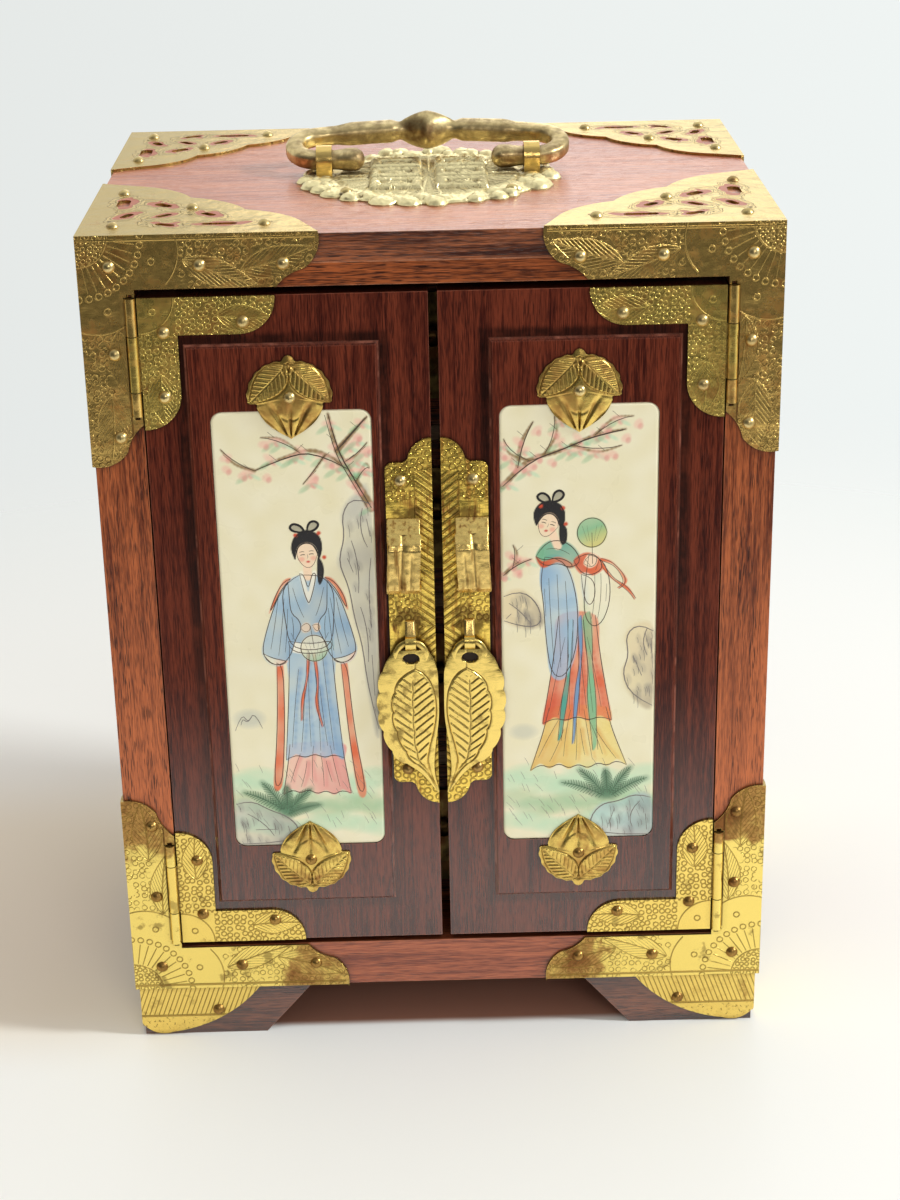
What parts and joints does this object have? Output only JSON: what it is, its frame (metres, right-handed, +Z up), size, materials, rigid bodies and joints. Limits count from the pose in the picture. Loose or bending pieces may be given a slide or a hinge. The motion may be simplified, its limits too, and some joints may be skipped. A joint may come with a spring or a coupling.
{
  "type": "jewellery cabinet",
  "caption": "Hardwood jewellery cabinet with painted-plaque doors, inner drawers, bracket feet, engraved brass corner mounts and a bail carrying handle.",
  "frame": {"origin": "on the floor under the middle of the overall box, lock staples and back nails included", "axes": "+X to the right seen from the front, +Y to the back, +Z up; the doors face -Y"},
  "size_m": [0.1802, 0.141, 0.249],
  "materials": {
    "rosewood": "dark red-brown hardwood with open pores under a glossy lacquer",
    "drawer_wood": "plain pale brown hardwood, waxed",
    "brass": "aged yellow brass, engraved, darker in the hollows",
    "plaque": "cream bone-coloured plaque with fine coloured painting under a soft gloss"
  },
  "bodies": {
    "cabinet": {"top_board": "rosewood", "front_stiles": "rosewood", "front_rail_top": "rosewood", "front_rail_bottom": "rosewood", "side_panel_left": "rosewood", "side_panel_right": "rosewood", "back_panel": "rosewood", "bottom_board": "rosewood", "feet_front": "rosewood", "feet_back": "rosewood", "drawer_guides": "drawer_wood", "drawer_shelves": "drawer_wood", "foot_mounts": "brass", "carcass_nails": "brass", "handle_plate": "brass", "handle_straps": "brass", "hinge_pins": "brass", "corner_top_front_left": "brass", "corner_top_front_right": "brass", "corner_top_back_left": "brass", "corner_top_back_right": "brass", "corner_bottom_front_left": "brass", "corner_bottom_front_right": "brass", "corner_bottom_back_left": "brass", "corner_bottom_back_right": "brass"},
    "bail": {"carry_handle": "brass"},
    "left_door": {"door_left": "rosewood", "plaque_left": "plaque", "plaque_clips_left": "brass", "hinge_leaves_left": "brass", "lock_plate_left": "brass", "lock_staple_left": "brass", "pull_loop_left": "brass", "door_nails_left": "brass"},
    "left_pull": {"leaf_pull_left": "brass"},
    "right_door": {"door_right": "rosewood", "plaque_right": "plaque", "plaque_clips_right": "brass", "hinge_leaves_right": "brass", "lock_plate_right": "brass", "lock_staple_right": "brass", "pull_loop_right": "brass", "door_nails_right": "brass"},
    "right_pull": {"leaf_pull_right": "brass"},
    "drawer_1": {"drawer_1_front": "rosewood", "drawer_1_tray": "drawer_wood", "drawer_1_plate": "brass"},
    "drawer_1_drop": {"drawer_1_pull": "brass"},
    "drawer_2": {"drawer_2_front": "rosewood", "drawer_2_tray": "drawer_wood", "drawer_2_plate": "brass"},
    "drawer_2_drop": {"drawer_2_pull": "brass"},
    "drawer_3": {"drawer_3_front": "rosewood", "drawer_3_tray": "drawer_wood", "drawer_3_plate": "brass"},
    "drawer_3_drop": {"drawer_3_pull": "brass"},
    "drawer_4": {"drawer_4_front": "rosewood", "drawer_4_tray": "drawer_wood", "drawer_4_plate": "brass"},
    "drawer_4_drop": {"drawer_4_pull": "brass"}
  },
  "joints": [
    {"name": "left_door_hinge", "type": "hinge", "parent": "cabinet", "child": "left_door", "pos_m": [-0.0763, -0.06352, 0.12455], "axis": [0, 0, -1], "range_deg": [0, 150]},
    {"name": "right_door_hinge", "type": "hinge", "parent": "cabinet", "child": "right_door", "pos_m": [0.0763, -0.06352, 0.12455], "axis": [0, 0, 1], "range_deg": [0, 150]},
    {"name": "left_pull_swing", "type": "hinge", "parent": "left_door", "child": "left_pull", "pos_m": [-0.0079, -0.06517, 0.1225], "axis": [-1, 0, 0], "range_deg": [0, 100]},
    {"name": "right_pull_swing", "type": "hinge", "parent": "right_door", "child": "right_pull", "pos_m": [0.0079, -0.06517, 0.1225], "axis": [-1, 0, 0], "range_deg": [0, 100]},
    {"name": "drawer_1_slide", "type": "slide", "parent": "cabinet", "child": "drawer_1", "axis": [0, -1, 0], "range_m": [0, 0.075]},
    {"name": "drawer_1_pull_swing", "type": "hinge", "parent": "drawer_1", "child": "drawer_1_drop", "pos_m": [0, -0.04328, 0.20169], "axis": [-1, 0, 0], "range_deg": [0, 60]},
    {"name": "drawer_2_slide", "type": "slide", "parent": "cabinet", "child": "drawer_2", "axis": [0, -1, 0], "range_m": [0, 0.075]},
    {"name": "drawer_2_pull_swing", "type": "hinge", "parent": "drawer_2", "child": "drawer_2_drop", "pos_m": [0, -0.04328, 0.15306], "axis": [-1, 0, 0], "range_deg": [0, 60]},
    {"name": "drawer_3_slide", "type": "slide", "parent": "cabinet", "child": "drawer_3", "axis": [0, -1, 0], "range_m": [0, 0.075]},
    {"name": "drawer_3_pull_swing", "type": "hinge", "parent": "drawer_3", "child": "drawer_3_drop", "pos_m": [0, -0.04328, 0.10444], "axis": [-1, 0, 0], "range_deg": [0, 60]},
    {"name": "drawer_4_slide", "type": "slide", "parent": "cabinet", "child": "drawer_4", "axis": [0, -1, 0], "range_m": [0, 0.075]},
    {"name": "drawer_4_pull_swing", "type": "hinge", "parent": "drawer_4", "child": "drawer_4_drop", "pos_m": [0, -0.04328, 0.05581], "axis": [-1, 0, 0], "range_deg": [0, 60]},
    {"name": "bail_swing", "type": "hinge", "parent": "cabinet", "child": "bail", "pos_m": [0, 0.00282, 0.2382], "axis": [1, 0, 0], "range_deg": [0, 150]}
  ],
  "couplings": [
    {"joint": "right_door_hinge", "follows": "left_door_hinge", "ratio": 1},
    {"joint": "drawer_1_slide", "follows": "left_door_hinge", "m_per_rad": 0.008},
    {"joint": "drawer_2_slide", "follows": "left_door_hinge", "m_per_rad": 0.012},
    {"joint": "drawer_3_slide", "follows": "left_door_hinge", "m_per_rad": 0.016},
    {"joint": "drawer_4_slide", "follows": "left_door_hinge", "m_per_rad": 0.02}
  ]
}
